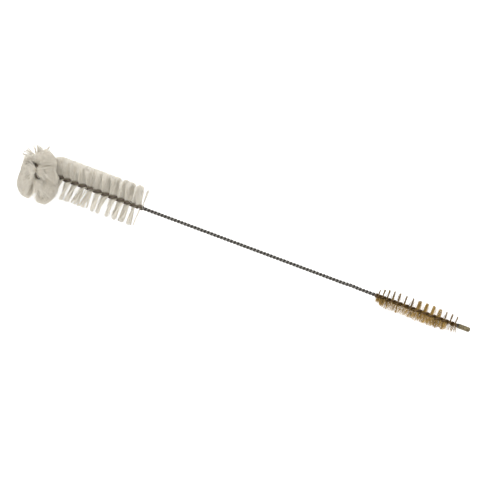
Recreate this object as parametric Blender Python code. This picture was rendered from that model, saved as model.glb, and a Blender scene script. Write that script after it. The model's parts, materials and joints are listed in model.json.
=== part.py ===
"""Double-ended cleaning brush of the twisted-in-wire kind.

Two steel strands are twisted together along the whole tool. At one end they grip off-white nylon
filaments, and the last of the core curls into a ring, so that the tip is a ball of bristles. At the
other end they grip short brass filaments, and a round-nosed ferrule covers the strands' cut ends.

The filaments lie side by side between the strands, so they stand out on both sides of the core and
turn with the twist. A tuft here is the blade of filaments that half a turn of the strands holds.

Everything is modelled along the stem: X runs from the nylon tip to the ferrule and Z is up. The
empty "brush" then lays it down as it rests on a table, on its ball tip and on its brass end.
Places along the core are given by "along": X on the straight stem, and the same measure carried on
round the bent end, where it becomes negative. Metres throughout.
"""

import math

import bmesh
import bpy
import numpy as np
from mathutils import Matrix, Vector

# Wire core
STRAND_D = 0.00165
STRAND_SIDES = 6
STRAND_GAP = 0.0002  # between the two strands where nothing lies between them
STEPS_PER_TURN = 8
SPREAD_LENGTH = 0.0025  # over which the strands part to let the filaments in

# Length of one full turn of the twist at places along the core, straight in between
LAYS = (
    (-0.050, 0.0134),
    (0.094, 0.0134),
    (0.104, 0.0112),
    (0.112, 0.0074),
    (0.115, 0.00592),
    (0.322, 0.00592),
    (0.327, 0.0074),
    (0.338, 0.0100),
    (0.346, 0.0116),
    (0.362, 0.0127),
    (0.376, 0.0120),
    (0.392, 0.0088),
    (0.410, 0.0088),
)
UPRIGHT_AT = 0.0463  # a blade of nylon stands across the stem, square to Z, here

# Bent end of the core: the stem leads into a ring that leans against it
LEAD_START = 0.0300
LEAD_PULL = 0.0065  # how far each end of the lead keeps its direction
RING_CENTRE = Vector((0.0209, -0.0025, 0.0005))
RING_RADIUS = 0.0097
RING_LEAN = math.radians(20)
RING_FROM = math.radians(-60)
RING_TO = math.radians(255)
LEAD_POINTS = 60
RING_POINTS = 240

# Filaments
TIP_TO = 0.0162  # the ring's filaments run on into the lead as far as this
NYLON_FROM, NYLON_TO = 0.0362, 0.1122
NYLON_REACHES = ((NYLON_FROM, 0.0168), (NYLON_TO, 0.0168))
NYLON_LAYER = 0.0006  # thickness of the blade at the core
BRASS_FROM, BRASS_TO = 0.3224, 0.3940
BRASS_REACHES = ((0.3224, 0.0048), (0.3320, 0.0084), (0.3720, 0.0084), (0.3940, 0.0070))
BRASS_LAYER = 0.0004
FAN_OUT = 0.098  # a blade thickens by this much a side for each unit of reach
LAYER_GAP = 0.0003  # between blades, and between a blade and a strand
STEPS_PER_TUFT = 8
LEAST_TUFT = 0.0015  # a shorter end piece stays with its neighbour
TIP_LIMIT = 0.0345  # filaments of the tip stop here, short of the straight head's
RING_EYE = 0.0030  # space left free along the ring's own centre line
CORE_SPACE = 0.0029  # space left free round any other stretch of the core
SAME_STRETCH = 0.006  # nearer along the core than this is not another stretch
FREE_STEP = 0.0004  # a filament's way is tried in steps of this length
CORE_SKIP = 4  # every so many points of the core are enough to try it against

# Ferrule
FERRULE_FROM, FERRULE_TO = 0.3953, 0.4061
FERRULE_RADIUS = 0.0021
FERRULE_BORE = 0.0018
FERRULE_DEPTH = 0.0080
FERRULE_CHAMFER = 0.00015
FERRULE_FLAT = 0.0006  # radius of the flat in the middle of the nose
FERRULE_SIDES = 24
NOSE_STEPS = 6
STRANDS_TO = FERRULE_FROM + 0.0070  # the cut ends stop short of the bore's floor

# How far the bristles that carry the brush give way on the table
TIP_GIVES = 0.0012
BRASS_GIVES = 0.0004
POSE_ROUNDS = 8

CORE_STEP = 0.00025
SHARP_ANGLE = math.radians(40)


def clear_scene():
    for thing in list(bpy.data.objects):
        bpy.data.objects.remove(thing)


def ring_frame():
    """Down along the ring, towards +Z along it, and square to it."""
    down = Vector((math.sin(RING_LEAN), -math.cos(RING_LEAN), 0))
    up = Vector((0, 0, 1))
    return down, up, down.cross(up)


def ring_point(angle):
    down, up, _ = ring_frame()
    return RING_CENTRE + RING_RADIUS * (math.cos(angle) * down + math.sin(angle) * up)


def lead_points():
    """The curve from the straight stem into the start of the ring."""
    down, up, _ = ring_frame()
    heading = math.cos(RING_FROM) * up - math.sin(RING_FROM) * down
    first, last = Vector((LEAD_START, 0, 0)), ring_point(RING_FROM)
    pulls = (first, first - LEAD_PULL * Vector((1, 0, 0)), last - LEAD_PULL * heading, last)
    points = []
    for i in range(LEAD_POINTS):
        t = i / (LEAD_POINTS - 1)
        shares = ((1 - t) ** 3, 3 * t * (1 - t) ** 2, 3 * t * t * (1 - t), t**3)
        points.append(sum((share * pull for share, pull in zip(shares, pulls)), Vector()))
    return points


def evenly(points, step):
    """The same line as points, with a point at each step of its length."""
    places = np.array(points)
    lengths = np.r_[0, np.cumsum(np.linalg.norm(np.diff(places, axis=0), axis=1))]
    wanted = np.arange(0, lengths[-1], step)
    return [Vector([np.interp(w, lengths, places[:, i]) for i in range(3)]) for w in wanted]


class Core:
    """The middle line of the two strands, with two directions across it and the twist."""

    def __init__(self):
        ring = [ring_point(a) for a in np.linspace(RING_FROM, RING_TO, RING_POINTS)]
        bent = evenly(lead_points() + ring[1:], CORE_STEP)
        self.start = LEAD_START - CORE_STEP * (len(bent) - 1)
        self.points = bent[::-1]
        for along in np.arange(LEAD_START + CORE_STEP, FERRULE_TO, CORE_STEP):
            self.points.append(Vector((along, 0, 0)))
        self.along = self.start + CORE_STEP * np.arange(len(self.points))
        self.across = self.carried_directions()
        lays = np.interp(self.along, *zip(*LAYS))
        turned = np.r_[0, np.cumsum(CORE_STEP * 2 * math.pi / lays)[:-1]]
        self.phases = turned - np.interp(UPRIGHT_AT, self.along, turned)

    def carried_directions(self):
        """Directions across the core, carried from the stem round the bend without turning."""
        last = len(self.points) - 1
        across = [None] * (last + 1)
        first = Vector((0, 1, 0))
        for i in range(last, -1, -1):
            heading = (self.points[min(i + 1, last)] - self.points[max(i - 1, 0)]).normalized()
            first = (first - heading * first.dot(heading)).normalized()
            across[i] = (first, heading.cross(first))
        return across

    def phase(self, along):
        return float(np.interp(along, self.along, self.phases))

    def at_phase(self, phase):
        return float(np.interp(phase, self.phases, self.along))

    def place(self, along):
        """The core's point, the blade's direction and the direction square to the blade."""
        i = int(round((along - self.start) / CORE_STEP))
        i = min(max(i, 0), len(self.points) - 1)
        first, second = self.across[i]
        turn = self.phase(along)
        blade = math.cos(turn) * first - math.sin(turn) * second
        square = math.sin(turn) * first + math.cos(turn) * second
        point = self.points[i] + float(along - self.along[i]) * first.cross(second)
        return point, blade, square


CORE = Core()


def smooth_between(value, low, high):
    t = min(max((value - low) / (high - low), 0), 1)
    return t * t * (3 - 2 * t)


def strand_offset(along):
    """How far a strand's middle is from the core's: further where filaments lie between them."""
    bare = (STRAND_D + STRAND_GAP) / 2
    nylon = NYLON_LAYER / 2 + LAYER_GAP + STRAND_D / 2
    brass = BRASS_LAYER / 2 + LAYER_GAP + STRAND_D / 2
    in_nylon = 1 - smooth_between(along, NYLON_TO, NYLON_TO + SPREAD_LENGTH)
    in_brass = smooth_between(along, BRASS_FROM - SPREAD_LENGTH, BRASS_FROM)
    in_brass -= smooth_between(along, BRASS_TO - LAYER_GAP, FERRULE_FROM - LAYER_GAP)
    return bare + (nylon - bare) * in_nylon + (brass - bare) * in_brass


def bridge(mesh, rings):
    """Walls between rings of the same number of points, each ring a closed outline."""
    rows = [[mesh.verts.new(point) for point in ring] for ring in rings]
    for row, next_row in zip(rows, rows[1:]):
        for i in range(len(row)):
            j = (i + 1) % len(row)
            mesh.faces.new((row[i], row[j], next_row[j], next_row[i]))
    return rows


def finished(mesh, name):
    """A Blender mesh from a bmesh, with its faces outwards and its flat facets kept crisp."""
    bmesh.ops.recalc_face_normals(mesh, faces=mesh.faces)
    made = bpy.data.meshes.new(name)
    mesh.to_mesh(made)
    mesh.free()
    made.shade_smooth()
    made.set_sharp_from_angle(angle=SHARP_ANGLE)
    return made


def strand_line(side, along):
    point, _, square = CORE.place(along)
    return point + side * strand_offset(along) * square


def strand_stations():
    """Places along the core at equal steps of the twist, from the ring's end to the ferrule."""
    first, last = CORE.phase(CORE.start), CORE.phase(STRANDS_TO)
    steps = round((last - first) / (2 * math.pi) * STEPS_PER_TURN)
    return [CORE.at_phase(phase) for phase in np.linspace(first, last, steps + 1)]


def strand(side, name):
    """One round strand, as a tube along its own helix about the core."""
    rings = []
    for along in strand_stations():
        middle = strand_line(side, along)
        ahead = strand_line(side, along + CORE_STEP) - strand_line(side, along - CORE_STEP)
        outwards = side * CORE.place(along)[2]
        outwards = (outwards - ahead * outwards.dot(ahead) / ahead.length_squared).normalized()
        sideways = ahead.normalized().cross(outwards)
        angles = [2 * math.pi * i / STRAND_SIDES for i in range(STRAND_SIDES)]
        rings.append(
            [middle + STRAND_D / 2 * (math.cos(a) * outwards + math.sin(a) * sideways) for a in angles]
        )
    mesh = bmesh.new()
    rows = bridge(mesh, rings)
    mesh.faces.new(rows[0])
    mesh.faces.new(rows[-1])
    return finished(mesh, name)


def ring_eye_distance(point):
    """Distance of a point from the line through the middle of the ring, square to it."""
    _, _, axis = ring_frame()
    away = point - RING_CENTRE
    return (away - axis * away.dot(axis)).length


def free_reach(along, point, blade, reach):
    """How far a filament of the tip goes before it would meet the eye or another stretch of core."""
    far = np.abs(CORE.along - along) > SAME_STRETCH
    others = np.array(CORE.points)[far][::CORE_SKIP]
    for i in range(1, int(reach / FREE_STEP) + 1):
        spot = point + blade * i * FREE_STEP
        too_near = np.linalg.norm(others - np.array(spot), axis=1).min() < CORE_SPACE
        if too_near or spot.x > TIP_LIMIT or ring_eye_distance(spot) < RING_EYE:
            return (i - 1) * FREE_STEP
    return reach


def tuft(name, low, high, layer, reaches, in_tip=False):
    """A half turn of filaments: a flat blade through the core that turns with the twist."""
    rings = []
    low, high = low + LAYER_GAP / 2, high - LAYER_GAP / 2
    for along in np.linspace(low, high, STEPS_PER_TUFT + 1).tolist():
        point, blade, square = CORE.place(along)
        reach = float(np.interp(along, *zip(*reaches)))
        right, left = reach, -reach
        if in_tip:
            right = free_reach(along, point, blade, reach)
            left = -free_reach(along, point, -blade, reach)
        outline = ((right, 1), (0, 1), (left, 1), (left, -1), (0, -1), (right, -1))
        rings.append(
            [point + r * blade + s * (layer / 2 + FAN_OUT * abs(r)) * square for r, s in outline]
        )
    mesh = bmesh.new()
    rows = bridge(mesh, rings)
    for row in (rows[0], rows[-1]):
        mesh.faces.new((row[0], row[1], row[4], row[5]))
        mesh.faces.new((row[1], row[2], row[3], row[4]))
    return finished(mesh, name)


def half_turns(low, high):
    """Parts a stretch of the core where the blades point up and down, with no tiny end piece."""
    first = math.ceil(CORE.phase(low) / math.pi - 0.5)
    last = math.floor(CORE.phase(high) / math.pi - 0.5)
    cuts = [CORE.at_phase((i + 0.5) * math.pi) for i in range(first, last + 1)]
    inner = [cut for cut in cuts if low + LEAST_TUFT < cut < high - LEAST_TUFT]
    edges = [low, *inner, high]
    return list(zip(edges, edges[1:]))


def ferrule():
    """A turned cup: bore towards the brush, rounded nose with a small flat."""
    floor = FERRULE_FROM + FERRULE_DEPTH
    nose = FERRULE_RADIUS - FERRULE_FLAT
    outline = [
        (floor, FERRULE_BORE),
        (FERRULE_FROM, FERRULE_BORE),
        (FERRULE_FROM, FERRULE_RADIUS - FERRULE_CHAMFER),
        (FERRULE_FROM + FERRULE_CHAMFER, FERRULE_RADIUS),
    ]
    for i in range(NOSE_STEPS + 1):
        angle = math.pi / 2 * i / NOSE_STEPS
        outline.append(
            (FERRULE_TO - nose + nose * math.sin(angle), FERRULE_FLAT + nose * math.cos(angle))
        )
    angles = [2 * math.pi * i / FERRULE_SIDES for i in range(FERRULE_SIDES)]
    rings = [[(x, r * math.cos(a), r * math.sin(a)) for a in angles] for x, r in outline]
    mesh = bmesh.new()
    rows = bridge(mesh, rings)
    mesh.faces.new(rows[0])
    mesh.faces.new(rows[-1])
    return finished(mesh, "ferrule")


def material(name, colour, roughness, metallic):
    made = bpy.data.materials.new(name)
    made.use_nodes = True
    shader = made.node_tree.nodes["Principled BSDF"]
    shader.inputs["Base Color"].default_value = (*colour, 1)
    shader.inputs["Roughness"].default_value = roughness
    shader.inputs["Metallic"].default_value = metallic
    made.diffuse_color = (*colour, 1)
    return made


def lowest(meshes, pose):
    """The lowest point of some meshes when they are placed by pose."""
    points = (pose @ corner.co for made in meshes for corner in made.vertices)
    return min(points, key=lambda point: point.z)


def resting_pose(tip, brass, everything):
    """Lays the stem down so that the tip and the brass head both reach just below the table."""
    pitch = 0.0
    for _ in range(POSE_ROUNDS):
        pose = Matrix.Rotation(pitch, 4, "Y")
        ball, end = lowest(tip, pose), lowest(brass, pose)
        drop = (end.z + BRASS_GIVES) - (ball.z + TIP_GIVES)
        pitch += math.atan2(drop, end.x - ball.x)
    pose = Matrix.Rotation(pitch, 4, "Y")
    height = -(lowest(tip, pose).z + TIP_GIVES)
    xs, ys = [], []
    for made in everything:
        for corner in made.vertices:
            point = pose @ corner.co
            xs.append(point.x)
            ys.append(point.y)
    middle = ((min(xs) + max(xs)) / 2, (min(ys) + max(ys)) / 2)
    return Matrix.Translation((-middle[0], -middle[1], height)) @ pose


def flatten_on_table(made, pose):
    """Bends back what would pass below the table."""
    back = pose.inverted()
    for corner in made.vertices:
        point = pose @ corner.co
        if point.z < 0:
            point.z = 0
            corner.co = back @ point


def build():
    clear_scene()
    steel = material("steel_wire", (0.18, 0.175, 0.165), 0.38, 0.9)
    nylon = material("nylon_filament", (0.62, 0.57, 0.49), 0.5, 0.0)
    brass = material("brass_filament", (0.42, 0.28, 0.11), 0.42, 0.85)
    cap = material("ferrule_brass", (0.36, 0.28, 0.15), 0.4, 0.9)

    strands = {name: strand(side, name) for side, name in ((1, "strand_a"), (-1, "strand_b"))}
    tip, head, scrub = {}, {}, {}
    for i, (low, high) in enumerate(half_turns(CORE.start, TIP_TO)):
        name = f"nylon_tip_tuft_{i + 1:02d}"
        tip[name] = tuft(name, low, high, NYLON_LAYER, NYLON_REACHES, in_tip=True)
    for i, (low, high) in enumerate(half_turns(NYLON_FROM, NYLON_TO)):
        name = f"nylon_tuft_{i + 1:02d}"
        head[name] = tuft(name, low, high, NYLON_LAYER, NYLON_REACHES)
    for i, (low, high) in enumerate(half_turns(BRASS_FROM, BRASS_TO)):
        name = f"brass_tuft_{i + 1:02d}"
        scrub[name] = tuft(name, low, high, BRASS_LAYER, BRASS_REACHES)
    end = {"ferrule": ferrule()}

    groups = ((strands, steel), (tip, nylon), (head, nylon), (scrub, brass), (end, cap))
    meshes = [made for group, _ in groups for made in group.values()]
    pose = resting_pose(tip.values(), scrub.values(), meshes)
    brush = bpy.data.objects.new("brush", None)
    bpy.context.scene.collection.objects.link(brush)
    brush.matrix_world = pose
    for group, finish in groups:
        for name, made in group.items():
            flatten_on_table(made, pose)
            made.materials.append(finish)
            piece = bpy.data.objects.new(name, made)
            bpy.context.scene.collection.objects.link(piece)
            piece.parent = brush


build()
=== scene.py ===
"""Double-ended twisted-wire cleaning brush, as it is seen.

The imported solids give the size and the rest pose. Here the two strands are round drawn wire, and every
tuft is a hundred to several hundred separate filaments. The ferrule stays as packed, in a worn finish.

Places are worked out along the stem first: X from the nylon tip to the ferrule, Y across it and Z up,
in metres, and "along" is X carried on round the bent end of the core. REST then lays the stem down.
"""

import json
import math
from dataclasses import dataclass

import bpy
import numpy as np
from mathutils import Matrix, Vector


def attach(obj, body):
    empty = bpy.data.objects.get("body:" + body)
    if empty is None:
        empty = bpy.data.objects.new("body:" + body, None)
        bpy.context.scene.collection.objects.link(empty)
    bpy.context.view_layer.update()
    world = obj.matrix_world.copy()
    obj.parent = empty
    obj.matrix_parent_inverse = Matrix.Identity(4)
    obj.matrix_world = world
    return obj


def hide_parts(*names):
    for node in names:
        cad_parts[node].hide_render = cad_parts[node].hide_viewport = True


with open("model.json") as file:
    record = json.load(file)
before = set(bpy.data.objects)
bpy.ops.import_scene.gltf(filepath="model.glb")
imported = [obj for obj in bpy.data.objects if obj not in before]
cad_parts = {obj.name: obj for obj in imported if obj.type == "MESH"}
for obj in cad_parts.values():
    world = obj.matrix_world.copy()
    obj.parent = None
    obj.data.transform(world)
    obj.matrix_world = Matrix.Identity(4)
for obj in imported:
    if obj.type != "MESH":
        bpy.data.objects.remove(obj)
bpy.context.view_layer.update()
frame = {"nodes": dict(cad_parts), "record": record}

bpy.ops.object.select_all(action="DESELECT")

# Core, as in the solids. LAYS: the length of a full turn of the twist at places along it
LAYS = (
    (-0.050, 0.0134),
    (0.094, 0.0134),
    (0.104, 0.0112),
    (0.112, 0.0074),
    (0.115, 0.00592),
    (0.322, 0.00592),
    (0.327, 0.0074),
    (0.338, 0.0100),
    (0.346, 0.0116),
    (0.362, 0.0127),
    (0.376, 0.0120),
    (0.392, 0.0088),
    (0.410, 0.0088),
)
UPRIGHT_AT = 0.0463  # a nylon blade stands across the stem here
LEAD_START = 0.0300
LEAD_PULL = 0.0065  # how far each end of the lead keeps its direction
RING_CENTRE = Vector((0.0209, -0.0025, 0.0005))
RING_RADIUS = 0.0097
RING_LEAN = math.radians(20)
RING_FROM = math.radians(-60)
RING_TO = math.radians(255)
LEAD_POINTS = 60
RING_POINTS = 240
TIP_TO = 0.0162  # the ring's filaments run on into the lead as far as this
NYLON_FROM, NYLON_TO = 0.0362, 0.1122
BRASS_FROM, BRASS_TO = 0.3224, 0.3940
LEAST_TUFT = 0.0015  # a shorter end piece stays with its neighbour
FERRULE_TO = 0.4061
CORE_STEP = 0.00025

# Wire
STRAND_D = 0.00165
WIRE_SIDES = 16
WIRE_STEPS = 28  # to a turn
NYLON_LAYER = 0.0011  # how far the filaments hold the strands apart
BRASS_LAYER = 0.0006
SPREAD_LENGTH = 0.0030  # over which the strands part to let the filaments in
CLOSING_FROM, CLOSED_AT = 0.3936, 0.3951  # they come together again before the ferrule
STRANDS_END = 0.4018  # inside the ferrule
LOOSE_TURN_AT = 0.3005  # a turn or two of the stem stands a little proud here
LOOSE_TURN_LENGTH = 0.0045
LOOSE_TURN_RISE = 0.00032
LOOSE_TURN_GAP = 0.00010
CREST_AT = 0.00198  # farther than this from the core's middle, the wire is painted bright, partly wear and partly a painted highlight; nearer, it is painted dark as shade where the strands meet
BRASS_HEAD_SHADE, NYLON_HEAD_SHADE = 0.9, 0.4  # share by which the wire is painted darker and browner in each head, as painted shade under the filaments
HEAD_SHADE_FADE = 0.0015

# How far the filaments reach, at places along the core
TIP_REACHES = ((-0.050, 0.0168), (TIP_TO, 0.0168))
NYLON_REACHES = ((NYLON_FROM, 0.0175), (NYLON_TO, 0.0175))
BRASS_REACHES = ((0.3224, 0.0048), (0.3320, 0.0084), (0.3720, 0.0084), (0.3940, 0.0070))


def rest_pose():
    """From the stem's own frame to the row's, worked out from where the ferrule's nose is."""
    nose = next(m for m in frame["record"]["mounts"] if m["name"] == "ferrule_nose")
    along = Vector(nose["axis"]).normalized()
    across = Vector((0, 1, 0))
    turned = Matrix((along, across, along.cross(across))).transposed()
    place = Vector(nose["pos_m"]) - turned @ Vector((FERRULE_TO, 0, 0))
    return Matrix.Translation(place) @ turned.to_4x4()


REST = rest_pose()
REST_TURN = np.array(REST.to_3x3())
REST_PLACE = np.array(REST.translation)


def laid_down(points):
    return points @ REST_TURN.T + REST_PLACE


# The line of the core


def ring_frame():
    down = Vector((math.sin(RING_LEAN), -math.cos(RING_LEAN), 0))
    up = Vector((0, 0, 1))
    return down, up, down.cross(up)


def ring_point(angle):
    down, up, _ = ring_frame()
    return RING_CENTRE + RING_RADIUS * (math.cos(angle) * down + math.sin(angle) * up)


def lead_points():
    """The curve from the straight stem into the start of the ring."""
    down, up, _ = ring_frame()
    heading = math.cos(RING_FROM) * up - math.sin(RING_FROM) * down
    first, last = Vector((LEAD_START, 0, 0)), ring_point(RING_FROM)
    pulls = (first, first - LEAD_PULL * Vector((1, 0, 0)), last - LEAD_PULL * heading, last)
    points = []
    for t in np.linspace(0, 1, LEAD_POINTS).tolist():
        shares = ((1 - t) ** 3, 3 * t * (1 - t) ** 2, 3 * t * t * (1 - t), t**3)
        points.append(sum((share * pull for share, pull in zip(shares, pulls)), Vector()))
    return points


def evenly(points, step):
    places = np.array(points)
    lengths = np.r_[0, np.cumsum(np.linalg.norm(np.diff(places, axis=0), axis=1))]
    wanted = np.arange(0, lengths[-1], step)
    return np.stack([np.interp(wanted, lengths, places[:, i]) for i in range(3)], axis=1)


def smooth_between(value, low, high):
    t = np.clip((value - low) / (high - low), 0, 1)
    return t * t * (3 - 2 * t)


def loose_turn(along):
    return np.exp(-(((along - LOOSE_TURN_AT) / LOOSE_TURN_LENGTH) ** 2))


class Core:
    """The middle line of the two strands, with two directions across it and the twist."""

    def __init__(self):
        ring = [ring_point(a) for a in np.linspace(RING_FROM, RING_TO, RING_POINTS)]
        bent = evenly(lead_points() + ring[1:], CORE_STEP)[::-1]
        self.start = LEAD_START - CORE_STEP * (len(bent) - 1)
        straight = np.arange(LEAD_START + CORE_STEP, FERRULE_TO, CORE_STEP)
        stem = np.stack([straight, 0 * straight, 0 * straight], axis=1)
        self.points = np.concatenate([bent, stem])
        self.along = self.start + CORE_STEP * np.arange(len(self.points))
        self.first, self.second = self.carried_directions()
        lays = np.interp(self.along, *zip(*LAYS))
        turned = np.r_[0, np.cumsum(CORE_STEP * 2 * math.pi / lays)[:-1]]
        self.phases = turned - np.interp(UPRIGHT_AT, self.along, turned)
        self.points[:, 1] += LOOSE_TURN_RISE * loose_turn(self.along)

    def carried_directions(self):
        """Directions across the core, carried from the stem round the bend without turning."""
        last = len(self.points) - 1
        firsts, seconds = np.zeros_like(self.points), np.zeros_like(self.points)
        first = np.array((0.0, 1.0, 0.0))
        for i in range(last, -1, -1):
            heading = self.points[min(i + 1, last)] - self.points[max(i - 1, 0)]
            heading /= np.linalg.norm(heading)
            first = first - heading * first.dot(heading)
            first /= np.linalg.norm(first)
            firsts[i], seconds[i] = first, np.cross(heading, first)
        return firsts, seconds

    def read(self, along, rows):
        return np.stack([np.interp(along, self.along, rows[:, i]) for i in range(3)], axis=-1)

    def at_phase(self, phase):
        return float(np.interp(phase, self.phases, self.along))

    def phase(self, along):
        return np.interp(along, self.along, self.phases)

    def place(self, along):
        """Points, blade directions, directions square to the blade and headings along the core."""
        first, second = self.read(along, self.first), self.read(along, self.second)
        turn = self.phase(along)[..., None]
        blade = np.cos(turn) * first - np.sin(turn) * second
        square = np.sin(turn) * first + np.cos(turn) * second
        return self.read(along, self.points), blade, square, np.cross(first, second)


CORE = Core()


def half_turns(low, high):
    """Parts a stretch of the core as the solids do, where the blades point up and down."""
    first = math.ceil(CORE.phase(low) / math.pi - 0.5)
    last = math.floor(CORE.phase(high) / math.pi - 0.5)
    cuts = [CORE.at_phase((i + 0.5) * math.pi) for i in range(first, last + 1)]
    inner = [cut for cut in cuts if low + LEAST_TUFT < cut < high - LEAST_TUFT]
    edges = [low, *inner, high]
    return list(zip(edges, edges[1:]))


# Modelling helpers


def only(piece):
    bpy.ops.object.select_all(action="DESELECT")
    piece.select_set(True)
    bpy.context.view_layer.objects.active = piece


def start_shaping(piece):
    only(piece)
    bpy.ops.object.mode_set(mode="EDIT")


def stop_shaping():
    bpy.ops.object.mode_set(mode="OBJECT")


def mesh_piece(name, points, faces, finish):
    made = bpy.data.meshes.new(name)
    made.from_pydata(points.tolist(), [], faces)
    made.shade_smooth()
    made.materials.append(finish)
    piece = bpy.data.objects.new(name, made)
    bpy.context.scene.collection.objects.link(piece)
    return piece


def write_values(piece, name, values):
    made = piece.data.attributes.new(name, "FLOAT", "POINT")
    made.data.foreach_set("value", np.asarray(values, np.float32))


# Materials


def new_material(name):
    made = bpy.data.materials.new(name)
    made.use_nodes = True
    return made, made.node_tree.nodes, made.node_tree.links, made.node_tree.nodes["Principled BSDF"]


def add_node(nodes, kind, **values):
    node = nodes.new(kind)
    for name, value in values.items():
        if name in node.inputs:
            node.inputs[name].default_value = value
        else:
            setattr(node, name, value)
    return node


def colour_steps(nodes, *steps):
    """A ramp through steps of (place, colour)."""
    ramp = nodes.new("ShaderNodeValToRGB")
    bar = ramp.color_ramp
    while len(bar.elements) < len(steps):
        bar.elements.new(0.5)
    for element, (place, colour) in zip(bar.elements, steps):
        element.position = place
        element.color = (*colour, 1)
    return ramp


def surface_wear(nodes, links, shader, wear, relief, smooth, dull, strength, distance):
    """Roughness between smooth and dull by one pattern, and fine bumps by another."""
    rough = add_node(nodes, "ShaderNodeMapRange", **{"To Min": smooth, "To Max": dull})
    bump = add_node(nodes, "ShaderNodeBump", Strength=strength, Distance=distance)
    links.new(wear.outputs["Fac"], rough.inputs["Value"])
    links.new(rough.outputs[0], shader.inputs["Roughness"])
    links.new(relief.outputs["Fac"], bump.inputs["Height"])
    links.new(bump.outputs[0], shader.inputs["Normal"])


def nylon_material():
    """Clear-drawn nylon: warm off-white, a little see-through, each filament its own shade, and darker
    near the core, partly dirt and partly painted shade.
    """
    made, nodes, links, shader = new_material("nylon_filament")
    shade = add_node(nodes, "ShaderNodeAttribute", attribute_name="shade")
    out = add_node(nodes, "ShaderNodeAttribute", attribute_name="out")
    place = nodes.new("ShaderNodeTexCoord")
    cloud = add_node(nodes, "ShaderNodeTexNoise", Scale=420.0, Detail=3.0)
    blend = add_node(nodes, "ShaderNodeMath", operation="MULTIPLY_ADD")
    blend.inputs[1].default_value = 0.55
    tone = colour_steps(
        nodes,
        (0.0, (0.85, 0.78, 0.645)),
        (0.5, (0.93, 0.87, 0.745)),
        (1.0, (0.97, 0.925, 0.82)),
    )
    # darker towards the core, where the filaments bunch between the strands: partly dirt, partly painted
    # shade
    dirt_and_painted_shade = colour_steps(nodes, (0.08, (0.30, 0.26, 0.20)), (0.16, (1.0, 1.0, 1.0)))
    darkened = add_node(nodes, "ShaderNodeMix", data_type="RGBA", blend_type="MULTIPLY")
    darkened.inputs[0].default_value = 1.0
    links.new(place.outputs["Object"], cloud.inputs["Vector"])
    links.new(cloud.outputs["Fac"], blend.inputs[0])
    links.new(shade.outputs["Fac"], blend.inputs[2])
    links.new(blend.outputs[0], tone.inputs[0])
    links.new(out.outputs["Fac"], dirt_and_painted_shade.inputs[0])
    links.new(tone.outputs[0], darkened.inputs[6])
    links.new(dirt_and_painted_shade.outputs[0], darkened.inputs[7])
    links.new(darkened.outputs[2], shader.inputs["Base Color"])
    surface_wear(nodes, links, shader, cloud, cloud, 0.34, 0.55, strength=0.15, distance=0.00005)
    shader.inputs["Subsurface Weight"].default_value = 0.3
    shader.inputs["Subsurface Radius"].default_value = (1.0, 1.0, 1.0)
    shader.inputs["Subsurface Scale"].default_value = 0.0012
    shader.inputs["Transmission Weight"].default_value = 0.18
    shader.inputs["IOR"].default_value = 1.53
    return made


def steel_material():
    """Dull drawn steel wire: lighter on the outer crests, partly wear and partly a painted highlight,
    near black where the strands meet as painted shade, and painted darker and browner inside the heads
    as painted shade.
    """
    made, nodes, links, shader = new_material("steel_wire")
    crest = add_node(nodes, "ShaderNodeAttribute", attribute_name="crest")
    place = nodes.new("ShaderNodeTexCoord")
    cloud = add_node(nodes, "ShaderNodeTexNoise", Scale=300.0, Detail=5.0, Roughness=0.6)
    grain = add_node(nodes, "ShaderNodeTexNoise", Scale=2600.0, Detail=4.0)
    wear_and_painted_light = add_node(nodes, "ShaderNodeMath", operation="MULTIPLY_ADD")
    wear_and_painted_light.inputs[1].default_value = 0.5
    head_shade = add_node(nodes, "ShaderNodeAttribute", attribute_name="head_shade")
    darkened = add_node(nodes, "ShaderNodeMix", data_type="RGBA", blend_type="MULTIPLY")
    # painted shade: inside the heads the wire is darkened and tinted brown, where the filaments cover it
    darkened.inputs[7].default_value = (0.60, 0.36, 0.14, 1)
    # painted shade: near black where the strands meet (low crest); lighter on the crests as a painted
    # highlight and wear
    tone = colour_steps(
        nodes,
        (0.35, (0.009, 0.008, 0.007)),
        (0.75, (0.040, 0.038, 0.033)),
        (1.0, (0.17, 0.16, 0.145)),
    )
    links.new(place.outputs["Object"], cloud.inputs["Vector"])
    links.new(place.outputs["Object"], grain.inputs["Vector"])
    links.new(cloud.outputs["Fac"], wear_and_painted_light.inputs[0])
    links.new(crest.outputs["Fac"], wear_and_painted_light.inputs[2])
    links.new(wear_and_painted_light.outputs[0], tone.inputs[0])
    links.new(tone.outputs[0], darkened.inputs[6])
    links.new(head_shade.outputs["Fac"], darkened.inputs[0])
    links.new(darkened.outputs[2], shader.inputs["Base Color"])
    surface_wear(nodes, links, shader, grain, grain, 0.26, 0.50, strength=0.25, distance=0.00006)
    shader.inputs["Metallic"].default_value = 1.0
    return made


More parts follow.
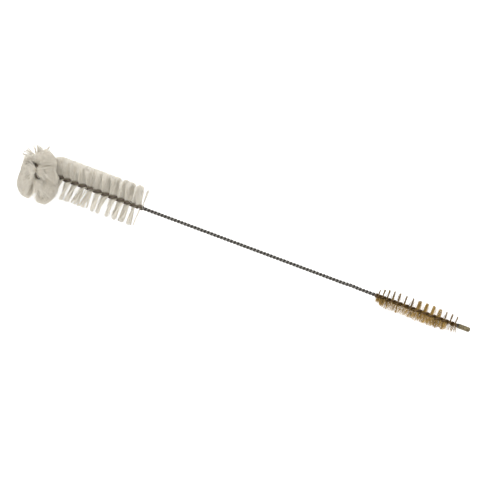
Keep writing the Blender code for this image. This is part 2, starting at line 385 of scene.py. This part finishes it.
def brass_material(name, low, middle, high):
    """Tarnished brass, from brown to golden by a cloud pattern and, on filaments, by each one's shade
    value.
    """
    made, nodes, links, shader = new_material(name)
    shade = add_node(nodes, "ShaderNodeAttribute", attribute_name="shade")
    place = nodes.new("ShaderNodeTexCoord")
    cloud = add_node(nodes, "ShaderNodeTexNoise", Scale=500.0, Detail=5.0, Roughness=0.65)
    grain = add_node(nodes, "ShaderNodeTexNoise", Scale=3000.0, Detail=3.0)
    mixed = add_node(nodes, "ShaderNodeMath", operation="MULTIPLY_ADD")
    mixed.inputs[1].default_value = 0.6
    tone = colour_steps(nodes, (0.2, low), (0.65, middle), (1.0, high))
    links.new(place.outputs["Object"], cloud.inputs["Vector"])
    links.new(place.outputs["Object"], grain.inputs["Vector"])
    links.new(cloud.outputs["Fac"], mixed.inputs[0])
    links.new(shade.outputs["Fac"], mixed.inputs[2])
    links.new(mixed.outputs[0], tone.inputs[0])
    links.new(tone.outputs[0], shader.inputs["Base Color"])
    surface_wear(nodes, links, shader, cloud, grain, 0.28, 0.52, strength=0.2, distance=0.00004)
    shader.inputs["Metallic"].default_value = 1.0
    return made


NYLON = nylon_material()
STEEL = steel_material()
BRASS = brass_material("brass_filament", (0.10, 0.06, 0.018), (0.40, 0.26, 0.08), (0.62, 0.43, 0.16))
CAP = brass_material("ferrule_brass", (0.06, 0.045, 0.025), (0.68, 0.58, 0.36), (0.80, 0.70, 0.48))


# Strands


def share_in_heads(along, brass_fades, brass_ends):
    """1 inside the nylon and the brass head, 0 on the bare stem, and in between at their ends."""
    in_nylon = 1 - smooth_between(along, NYLON_TO, NYLON_TO + SPREAD_LENGTH)
    in_brass = smooth_between(along, BRASS_FROM - SPREAD_LENGTH, BRASS_FROM)
    return in_nylon, in_brass - smooth_between(along, brass_fades, brass_ends)


def strand_offset(along):
    """How far a strand's middle is from the core's."""
    in_nylon, in_brass = share_in_heads(along, CLOSING_FROM, CLOSED_AT)
    parted = (NYLON_LAYER * in_nylon + BRASS_LAYER * in_brass) / 2
    return STRAND_D / 2 + parted + LOOSE_TURN_GAP * loose_turn(along)


def strand_piece(side, name, node):
    """Round wire along its own helix about the core."""
    first, last = CORE.phase(CORE.start), CORE.phase(STRANDS_END)
    count = round((last - first) / (2 * math.pi) * WIRE_STEPS)
    along = np.interp(np.linspace(first, last, count + 1), CORE.phases, CORE.along)
    point, _, square, _ = CORE.place(along)
    line = point + side * strand_offset(along)[:, None] * square
    curve = bpy.data.curves.new(name, "CURVE")
    curve.dimensions = "3D"
    curve.bevel_mode = "ROUND"
    curve.bevel_depth = STRAND_D / 2
    curve.bevel_resolution = (WIRE_SIDES - 4) // 2
    curve.use_fill_caps = True
    spline = curve.splines.new("POLY")
    spline.points.add(len(line) - 1)
    placed = np.c_[laid_down(line), np.ones(len(line))]
    spline.points.foreach_set("co", placed.ravel())
    piece = bpy.data.objects.new(name, curve)
    bpy.context.scene.collection.objects.link(piece)
    only(piece)
    bpy.ops.object.convert(target="MESH")
    piece = bpy.context.active_object
    piece.data.shade_smooth()
    piece.data.materials.clear()
    piece.data.materials.append(STEEL)
    # crest: 0 where a surface point faces the other strand, 1 on the outside of the twist; the steel is
    # painted dark at 0 as shade and light at 1 as a highlight and wear
    surface = np.array([corner.co for corner in piece.data.vertices])
    middle = laid_down(point)
    nearest = np.linspace(0, len(line) - 1, len(surface)).round().astype(int)
    away = np.linalg.norm(surface - middle[nearest], axis=1)
    write_values(piece, "crest", np.clip(away / CREST_AT, 0, 1))
    # head_shade: painted shade on the wire inside each head, strongest in the brass one
    in_nylon, in_brass = share_in_heads(along, BRASS_TO - HEAD_SHADE_FADE, BRASS_TO)
    write_values(piece, "head_shade", (BRASS_HEAD_SHADE * in_brass + NYLON_HEAD_SHADE * in_nylon)[nearest])
    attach(piece, "root")
    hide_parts(node)


# Filaments


@dataclass
class Bristle:
    """What one sort of filament is like. Slopes are sideways travel for each unit of reach."""

    finish: object
    slot: str
    radius: float
    count: int  # in half a turn
    layer: float  # half the thickness of the layer between the strands
    thicken: float  # how far the layer fans out, as a slope
    curl: float
    uneven: float  # share of the reach
    lock: int  # filaments that lie together
    lock_scatter: float
    strays: float
    sides: int
    rings: int


@dataclass
class Fan:
    """How the filaments stand on one side of a tuft."""

    lean: float = 0.0  # slope towards the nylon tip
    splay: float = 0.0  # slope by which the edges of the fan open along the core
    scatter: float = 0.03  # along the core
    spread: float = 0.03  # round the core
    closing: float = 0.72  # share of the half turn that the fan still spans
    share: float = 1.0  # of the full count
    edge: float = 0.80  # how far round the fan is full, either way from its middle
    edge_share: float = 0.25  # of the filaments past the edge
    clump: float = 0.0  # how far whole clumps stray, as a slope
    gather: float = 0.0  # share by which the tips of a clump draw together
    loners: int = 0  # filaments at the very end of the head that stand apart
    clean: float = 1.0  # how bright the filaments are, against the brightest


SOFT = Bristle(
    finish=NYLON, slot="nylon_filament", radius=0.00013, count=380, layer=0.00050, thicken=0.04,
    curl=0.025, uneven=0.012, lock=5, lock_scatter=0.02, strays=0.012, sides=5, rings=8,
)
STIFF = Bristle(
    finish=BRASS, slot="brass_filament", radius=0.00011, count=120, layer=0.00026, thicken=0.01,
    curl=0.02, uneven=0.05, lock=4, lock_scatter=0.015, strays=0.03, sides=5, rings=6,
)

# Fans of the straight heads, tuft by tuft from the nylon tip: on the left (+Y) and on the right (-Y)
NYLON_LEFT = [
    Fan(
        lean=lean, splay=splay, scatter=scatter, spread=0.06, closing=closing,
        edge_share=edge_share, loners=loners,
    )
    for lean, splay, scatter, closing, edge_share, loners in (
        (0.18, 0.10, 0.10, 0.15, 0.8, 0),
        (0.10, 0.12, 0.10, 0.45, 0.25, 0),
        (0.08, 0.12, 0.10, 0.45, 0.25, 0),
        (0.08, 0.12, 0.10, 0.45, 0.25, 0),
        (0.08, 0.12, 0.10, 0.45, 0.25, 0),
        (0.08, 0.12, 0.10, 0.45, 0.25, 0),
        (0.08, 0.10, 0.10, 0.45, 0.25, 0),
        (0.12, 0.0, 0.04, 0.30, 0.25, 0),
        (0.03, 0.0, 0.04, 0.30, 0.25, 0),
        (0.12, 0.0, 0.03, 0.30, 0.25, 0),
        (0.01, 0.0, 0.03, 0.30, 0.25, 0),
        (0.34, 0.0, 0.06, 0.15, 0.6, 60),
    )
]
NYLON_RIGHT = [
    Fan(lean=lean, closing=0.6, edge_share=0.12, clump=clump, gather=gather, share=share)
    for lean, clump, gather, share in (
        (0.05, 0.0, 0.0, 1.0),
        (0.05, 0.0, 0.0, 1.0),
        (0.18, 0.03, 0.0, 1.0),
        (0.08, 0.13, 0.5, 0.9),
        (0.04, 0.13, 0.5, 0.8),
        (0.0, 0.0, 0.0, 1.0),
        (0.12, 0.0, 0.0, 1.0),
        (0.03, 0.0, 0.0, 0.7),
        (0.03, 0.0, 0.0, 1.0),
        (0.02, 0.05, 0.4, 1.0),
        (-0.02, 0.05, 0.4, 0.8),
        (0.04, 0.03, 0.8, 0.20),
    )
]
BRASS_LEFT = [
    Fan(
        scatter=0.03, closing=closing, share=share, edge=edge, edge_share=edge_share, clean=clean
    )
    for closing, share, edge, edge_share, clean in (
        *((0.6, 0.7, 0.40, 0.06, 0.2),) * 7,
        *((0.25, 0.8, 0.80, 0.08, 0.8),) * 4,
        *((0.6, 0.7, 0.40, 0.06, 0.2),) * 3,
    )
]
BRASS_RIGHT = [
    Fan(
        scatter=scatter, spread=0.12, splay=splay, closing=closing, share=share, edge=edge,
        edge_share=0.6, clean=clean,
    )
    for scatter, splay, closing, share, edge, clean in (
        (0.08, 0.0, 0.7, 0.4, 0.8, 0.6),
        (0.05, 0.0, 0.6, 1.0, 0.8, 0.9),
        (0.14, 0.10, 0.85, 0.7, 0.8, 0.8),
        (0.14, 0.10, 0.85, 0.5, 0.8, 0.7),
        (0.14, 0.10, 0.85, 0.7, 0.8, 0.8),
        (0.14, 0.10, 0.85, 0.5, 0.8, 1.0),
        (0.10, 0.12, 0.85, 0.8, 0.8, 1.2),
        (0.10, 0.12, 0.85, 0.9, 0.8, 1.3),
        (0.06, 0.06, 0.70, 0.9, 0.8, 1.3),
        (0.04, 0.0, 0.40, 0.9, 0.6, 1.1),
        (0.04, 0.0, 0.40, 0.9, 0.5, 0.8),
        (0.04, 0.0, 0.40, 0.9, 0.6, 0.9),
        (0.20, 0.10, 0.9, 0.35, 0.8, 0.4),
        (0.20, 0.10, 0.9, 0.35, 0.8, 0.4),
    )
]
# Fans of the ring's tufts, from the free end: on the side of the stem, and away from it
FREE_END = Fan(scatter=0.22, spread=0.20, closing=1.0, clean=0.3, edge_share=1.0)
HAIRY = Fan(
    scatter=0.06, spread=0.06, closing=1.0, share=0.60, edge_share=1.0, clump=0.18, gather=0.85
)
FULL = Fan(scatter=0.28, spread=0.10, closing=0.79, clean=0.3, edge_share=1.0)
NOTCHED = Fan(scatter=0.25, spread=0.04, closing=0.76, clean=0.3, edge_share=1.0)
HELD_BACK = Fan(scatter=0.22, spread=0.04, closing=0.66, clean=0.3, edge_share=1.0)
SPARSE = Fan(scatter=0.28, spread=0.10, closing=0.79, share=0.6, clean=0.3, edge_share=1.0)
TIP_FANS = (
    (FREE_END, HAIRY),
    (FREE_END, HAIRY),
    (FREE_END, HAIRY),
    (FREE_END, FREE_END),
    (SPARSE, FULL),
    (FULL, HELD_BACK),
    (NOTCHED, HELD_BACK),
    (NOTCHED, HELD_BACK),
    (NOTCHED, HELD_BACK),
)
TIP_PARTS = np.array((1, -0.14, 0))  # the ring's filaments part this way and the other
PARTING_LENGTH = 0.016  # of the lead, over which its filaments come to part like the ring's
TIP_SET = np.array((0.0025, -0.0030, 0.0))  # the ring's filaments are bent over this way
TIP_EXTRA = 2.1  # filaments for each one of the straight head
CLUMP_SIZE = 12  # filaments that stray together where a fan has clumps
EYE_SIDE_PUSH, EYE_OUT_PUSH = 0.75, 0.55  # how far those that point into the ring's eye are pushed
EYE_POWER = 1.5  # how sharply that push comes in

# The ball's outline as seen from above: degrees round from +X towards +Y, the distance from
# BALL_MIDDLE at which its filaments are trimmed, and that which its hairy clumps stand out to
BALL_MIDDLE = np.array((0.02226, -0.00336))
BALL_OUTLINE = (
    (-169, 0.0171, 0.0171),
    (-149, 0.0197, 0.0197),
    (-138, 0.0213, 0.0213),
    (-125, 0.0228, 0.0228),
    (-114, 0.0235, 0.0235),
    (-104, 0.0231, 0.0231),
    (-82, 0.0234, 0.0234),
    (-73, 0.0244, 0.0244),
    (-60, 0.0260, 0.0260),
    (-51, 0.0249, 0.0249),
    (-42, 0.0236, 0.0236),
    (-34, 0.0221, 0.0221),
    (-18, 0.0191, 0.0191),
    (7, 0.0178, 0.0178),
    (17, 0.0152, 0.0152),
    (30, 0.0138, 0.0138),
    (43, 0.0150, 0.0150),
    (55, 0.0180, 0.0180),
    (65, 0.0186, 0.0186),
    (84, 0.0211, 0.0211),
    (88, 0.0213, 0.0215),
    (91, 0.0214, 0.0285),
    (94, 0.0215, 0.0220),
    (107, 0.0219, 0.0225),
    (113, 0.0208, 0.0250),
    (135, 0.0188, 0.0256),
    (148, 0.0198, 0.0256),
    (156, 0.0195, 0.0200),
    (170, 0.0177, 0.0177),
)
BALL_LEAN = np.array((0.20, 0.0))  # how far the outline's middle moves for each unit of height
BALL_HEIGHT = 0.036  # above the middle, where the outline would have drawn in to nothing
BALL_DRAWN_IN = 0.97  # share of that height above which it draws in no further
BALL_TOP = 0.0150  # height above the core at which the ends are cut, in the middle
BALL_DOME = 0.35  # share by which the cut falls towards the outline
BALL_STRETCH = 1.12  # ends are combed out by this much before they are trimmed
NECK = 0.12  # share of the reach in which a filament turns from the strands' gap to its own way
SPLAY_ANGLE = 0.35  # where in the fan its edges begin to open
LONER_SLOPE = -0.01  # of the filaments that stand apart at the head's end
STRAY_SLOPE = 0.14  # scatter of the single filaments that stick out anywhere
STRAY_CURL = 4  # times that of the others
NIPPED = 0.75  # width of a filament's cut ends, for its full width of 1
STUB = 0.0011  # what is left of a filament that is lost from a fan


def filament_form(sides, rings):
    """One straight filament, modelled once: two units long, with nipped ends. Points and faces."""
    bpy.ops.object.select_all(action="DESELECT")
    bpy.ops.mesh.primitive_cylinder_add(vertices=sides, radius=1, depth=2)
    piece = bpy.context.active_object
    start_shaping(piece)
    for i in range(1, rings):
        bpy.ops.mesh.select_all(action="SELECT")
        bpy.ops.mesh.bisect(plane_co=(0, 0, 2 * i / rings - 1), plane_no=(0, 0, 1))
    stop_shaping()
    points = np.array([corner.co for corner in piece.data.vertices])
    points[np.isclose(np.abs(points[:, 2]), 1), :2] *= NIPPED
    faces = [tuple(face.vertices) for face in piece.data.polygons]
    bpy.data.objects.remove(piece)
    return points, faces


def flat_phase(along, in_tip):
    """The phase at which a blade lies along the middles of its two fans."""
    if not in_tip:
        return np.zeros_like(along)
    first, second = CORE.read(along, CORE.first), CORE.read(along, CORE.second)
    on_ring = np.arctan2(-(second @ TIP_PARTS), first @ TIP_PARTS)
    return on_ring * smooth_between(along, LEAD_START, LEAD_START - PARTING_LENGTH)


def past_the_eye(point, way, length):
    """How far filaments that point into the ring's eye are pushed aside and back out of it."""
    axis = np.array(ring_frame()[2])
    away = point - np.array(RING_CENTRE)
    away = away - axis * (away @ axis)[..., None]
    away /= np.linalg.norm(away, axis=-1, keepdims=True)
    inwards = np.clip(-(way * away).sum(-1), 0, 1) ** EYE_POWER * length
    side = np.where((way * axis).sum(-1) < 0, -1, 1)
    aside = (EYE_SIDE_PUSH * inwards * side)[..., None] * axis
    return aside + (EYE_OUT_PUSH * inwards)[..., None] * away


def trimmed(tips, hairy, uneven):
    """How far the ends of the ring's filaments move to lie within the ball's outline."""
    away = tips[..., :2] - BALL_MIDDLE - tips[..., 2:] * BALL_LEAN
    size = np.linalg.norm(away, axis=-1)
    angles, body, hair = zip(*BALL_OUTLINE)
    angle = np.degrees(np.arctan2(away[..., 1], away[..., 0]))
    body, hair = (np.interp(angle, angles, sizes, period=360) for sizes in (body, hair))
    height = np.minimum(np.abs(tips[..., 2]) / BALL_HEIGHT, BALL_DRAWN_IN)
    limit = np.where(hairy, hair, body) * np.sqrt(1 - height**2)
    wanted = np.minimum(size * BALL_STRETCH, limit * (1 - np.abs(uneven)))
    moves = np.zeros_like(tips)
    moves[..., :2] = away * (wanted / size - 1)[..., None]
    top = BALL_TOP * (1 - BALL_DOME * (wanted / limit) ** 3)
    moves[..., 2] = np.minimum(top - tips[..., 2], 0)
    return moves


def fan_of_halves(fans, on_left):
    """The values of a tuft's two fans, as those of the fan that each half filament stands in."""
    left, right = (vars(fan) for fan in fans)
    return Fan(**{name: np.where(on_left, left[name], right[name]) for name in left})


def sideways_slopes(rng, kind, fan, turn, across, stray, alone, clumps):
    """How far each half filament travels along the core and round it, for each unit of reach."""
    count = len(turn)
    locks = np.arange(count) // kind.lock
    slopes = rng.normal(0, kind.lock_scatter, (locks[-1] + 1, 2, 2))[locks]
    slopes += rng.normal(0, 1, (count, 2, 2)) * np.stack([fan.scatter, fan.spread], axis=-1)
    slopes[..., 0] += fan.splay * np.tanh(turn / SPLAY_ANGLE)[:, None] - fan.lean
    slopes[..., 1] += (kind.thicken * across)[:, None]
    slopes[stray] += rng.normal(0, STRAY_SLOPE, (int(stray.sum()), 2, 2))
    slopes[alone] = LONER_SLOPE
    slopes += fan.clump[..., None] * rng.normal(0, 1, (clumps[-1] + 1, 2, 2))[clumps]
    return slopes


def still_there(rng, fan, turn, alone, clumps):
    """Which half filaments aren't lost. Fewer stay past a fan's edge, and hairy clumps go whole."""
    past_edge = np.abs(turn)[:, None] > fan.edge
    share = fan.share * np.where(past_edge, fan.edge_share, 1)
    share[alone] = 1
    chances = rng.random(share.shape)
    chances = np.where(fan.gather > 0, chances[clumps * CLUMP_SIZE], chances)
    return chances <= share


def gathered(tips, whole, clumps, share):
    """How far the ends move towards the middle of the ends of their clump."""
    middles, members = np.zeros((clumps[-1] + 1, 2, 3)), np.zeros((clumps[-1] + 1, 2, 1))
    np.add.at(middles, clumps, whole * tips)
    np.add.at(members, clumps, whole)
    middles /= np.maximum(members, 1)
    return whole * share[..., None] * (middles[clumps] - tips)


def tuft_piece(name, node, low, high, kind, reaches, seed, fans, in_tip):
    """The filaments that half a turn of the strands grips, each bent and placed on its own."""
    rng = np.random.default_rng(seed)
    form, form_faces = filament_form(kind.sides, kind.rings)
    half_turn_share = (CORE.phase(high) - CORE.phase(low)) / math.pi
    count = round(kind.count * half_turn_share * (TIP_EXTRA if in_tip else 1))
    along = low + (np.arange(count) + rng.random(count)) / count * (high - low)
    point, blade, square, heading = CORE.place(along)
    first, second = CORE.read(along, CORE.first), CORE.read(along, CORE.second)
    across = rng.uniform(-1, 1, count)
    root = (point + (kind.layer * across)[:, None] * square)[:, None]

    # which of the two fans each half is in, and how far round it the half stands
    phase, flat = CORE.phase(along), flat_phase(along, in_tip)
    turn = (phase - flat + math.pi / 2) % math.pi - math.pi / 2
    leftwards = np.cos(phase - turn - flat)
    fan = fan_of_halves(fans, np.stack([leftwards > 0, leftwards < 0], axis=1))

    # slopes, lengths and losses
    clumps = np.arange(count) // CLUMP_SIZE
    alone = np.arange(count)[:, None] >= count - fan.loners
    stray = rng.random(count) < kind.strays
    closing = np.where(stray[:, None], 1.0, fan.closing)
    slopes = sideways_slopes(rng, kind, fan, turn, across, stray, alone, clumps)
    curls = rng.normal(0, kind.curl, (count, 2, 2))
    curls[stray] *= STRAY_CURL
    uneven = rng.normal(0, kind.uneven, (count, 2))
    length = np.interp(along, *zip(*reaches))[:, None] * (1 + uneven)
    there = still_there(rng, fan, turn, alone, clumps)
    reach = np.where(there, length / np.sqrt(1 + (slopes**2).sum(-1)), STUB)[..., None]
    whole = there[..., None]

    # the straight way out of each half, and the bend on top of it
    sign = np.array((1.0, -1.0))[None, :, None]
    shut = ((phase - turn)[:, None] + closing * turn[:, None])[..., None]
    way = sign * (np.cos(shut) * first[:, None] - np.sin(shut) * second[:, None])
    aside = np.cross(heading[:, None], way)
    steady = reach * (way + slopes[..., :1] * heading[:, None] + slopes[..., 1:] * aside)
    bend = reach * (curls[..., :1] * heading[:, None] + curls[..., 1:] * aside)
    if in_tip:
        bend += past_the_eye(point[:, None], way, reach[..., 0]) + TIP_SET
    end = steady + bend
    bend += end * (np.minimum(1, length / np.linalg.norm(end, axis=-1)) - 1)[..., None]
    bend += gathered(root + steady + bend, whole, clumps, fan.gather)
    if in_tip:
        uneven = rng.normal(0, kind.uneven, (count, 2))
        bend += whole * trimmed(root + steady + bend, fan.gather > 0, uneven)

    # the filament's form carried out along both its halves and laid down, no lower than the floor
    half = (form[:, 2] < 0).astype(int)
    out = np.abs(form[:, 2])[None, :, None]
    neck = reach * (sign * blade[:, None] - way) * NECK
    line = root + out * steady[:, half] + out**2 * bend[:, half]
    line = laid_down(line + (1 - np.exp(-out / NECK)) * neck[:, half])
    line[..., 2] = np.maximum(line[..., 2], kind.radius)
    section = kind.radius * (form[:, :1] * square[:, None] + form[:, 1:2] * heading[:, None])
    points = (line + section @ REST_TURN.T).reshape(-1, 3)
    points[:, 2] = np.maximum(points[:, 2], 0.0)

    size = len(form)
    faces = [tuple(i + k * size for i in face) for k in range(count) for face in form_faces]
    piece = mesh_piece(name, points, faces, kind.finish)
    write_values(piece, "shade", (rng.random(count)[:, None] * fan.clean[:, half]).ravel())
    write_values(piece, "out", (out * reach[:, half] / reach.max()).ravel())
    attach(piece, "root")
    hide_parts(node)


def grow_bristles():
    heads = (
        ("tip_bristles", "nylon_tip_tuft", CORE.start, TIP_TO, SOFT, TIP_REACHES, 100, TIP_FANS),
        (
            "nylon_bristles", "nylon_tuft", NYLON_FROM, NYLON_TO, SOFT, NYLON_REACHES, 200,
            list(zip(NYLON_LEFT, NYLON_RIGHT)),
        ),
        (
            "brass_bristles", "brass_tuft", BRASS_FROM, BRASS_TO, STIFF, BRASS_REACHES, 300,
            list(zip(BRASS_LEFT, BRASS_RIGHT)),
        ),
    )
    for name, node, start, end, kind, reaches, seed, fans in heads:
        for i, (low, high) in enumerate(half_turns(start, end)):
            number = f"{i + 1:02d}"
            tuft_piece(
                f"{name}_{number}", f"{node}_{number}", low, high, kind, reaches, seed + i, fans[i],
                in_tip=fans is TIP_FANS,
            )


# Stage

ROOM_LIGHT = 0.95
BACKDROP_LIGHT = 1.05
FLOOR_GLOW = 0.50
CAMERA_DISTANCE = 0.80
FRAME_WIDTH = 0.4074  # what the view spans at the stem
VIEW_MIDDLE = Vector((0.2014, 0.0023, 0))
STEM_SLOPE = math.radians(20.446)  # the stem runs down to the right by this much
SENSOR = 36.0


def floor_material():
    made, _, _, shader = new_material("floor")
    shader.inputs["Base Color"].default_value = (0.85, 0.85, 0.85, 1)
    shader.inputs["Roughness"].default_value = 0.9
    shader.inputs["Emission Color"].default_value = (1, 1, 1, 1)
    shader.inputs["Emission Strength"].default_value = FLOOR_GLOW
    return made


def white_floor():
    bpy.ops.object.select_all(action="DESELECT")
    bpy.ops.mesh.primitive_plane_add(size=12, location=(0, 0, 0))
    floor = bpy.context.active_object
    floor.name = "floor"
    floor.data.materials.append(floor_material())


def soft_light(name, place, aim, size, power):
    lamp = bpy.data.lights.new(name, "AREA")
    lamp.shape = "DISK"
    lamp.size = size
    lamp.energy = power
    light = bpy.data.objects.new(name, lamp)
    light.location = place
    light.rotation_euler = (Vector(aim) - Vector(place)).to_track_quat("-Z", "Y").to_euler()
    bpy.context.scene.collection.objects.link(light)


def light_stage():
    """A soft white room, as bright behind the brush as the floor is."""
    world = bpy.data.worlds.new("studio")
    world.use_nodes = True
    nodes, links = world.node_tree.nodes, world.node_tree.links
    room = nodes["Background"]
    room.inputs["Color"].default_value = (1, 1, 1, 1)
    room.inputs["Strength"].default_value = ROOM_LIGHT
    backdrop = add_node(nodes, "ShaderNodeBackground", Color=(1, 1, 1, 1), Strength=BACKDROP_LIGHT)
    seen = nodes.new("ShaderNodeLightPath")
    both = nodes.new("ShaderNodeMixShader")
    links.new(seen.outputs["Is Camera Ray"], both.inputs[0])
    links.new(room.outputs[0], both.inputs[1])
    links.new(backdrop.outputs[0], both.inputs[2])
    links.new(both.outputs[0], nodes["World Output"].inputs["Surface"])
    bpy.context.scene.world = world
    soft_light("overhead", place=(-0.30, 0.40, 1.2), aim=(0, 0, 0), size=1.2, power=6.5)
    bpy.context.scene.view_settings.view_transform = "Standard"


def place_camera():
    """Square to the stem and above it."""
    turned = REST.to_3x3()
    along, across = turned @ Vector((1, 0, 0)), turned @ Vector((0, 1, 0))
    right = math.cos(STEM_SLOPE) * along + math.sin(STEM_SLOPE) * across
    up = math.cos(STEM_SLOPE) * across - math.sin(STEM_SLOPE) * along
    back = right.cross(up)
    lens = bpy.data.cameras.new("camera")
    lens.sensor_width = SENSOR
    lens.lens = SENSOR * CAMERA_DISTANCE / FRAME_WIDTH
    camera = bpy.data.objects.new("camera", lens)
    camera.matrix_world = Matrix.Translation(REST @ VIEW_MIDDLE + CAMERA_DISTANCE * back) @ (
        Matrix((right, up, back)).transposed().to_4x4()
    )
    bpy.context.scene.collection.objects.link(camera)
    bpy.context.scene.camera = camera


strand_piece(1, "wire_strand_a", "strand_a")
strand_piece(-1, "wire_strand_b", "strand_b")
grow_bristles()
frame["nodes"]["ferrule"].data.materials.clear()
frame["nodes"]["ferrule"].data.materials.append(CAP)
white_floor()
light_stage()
place_camera()
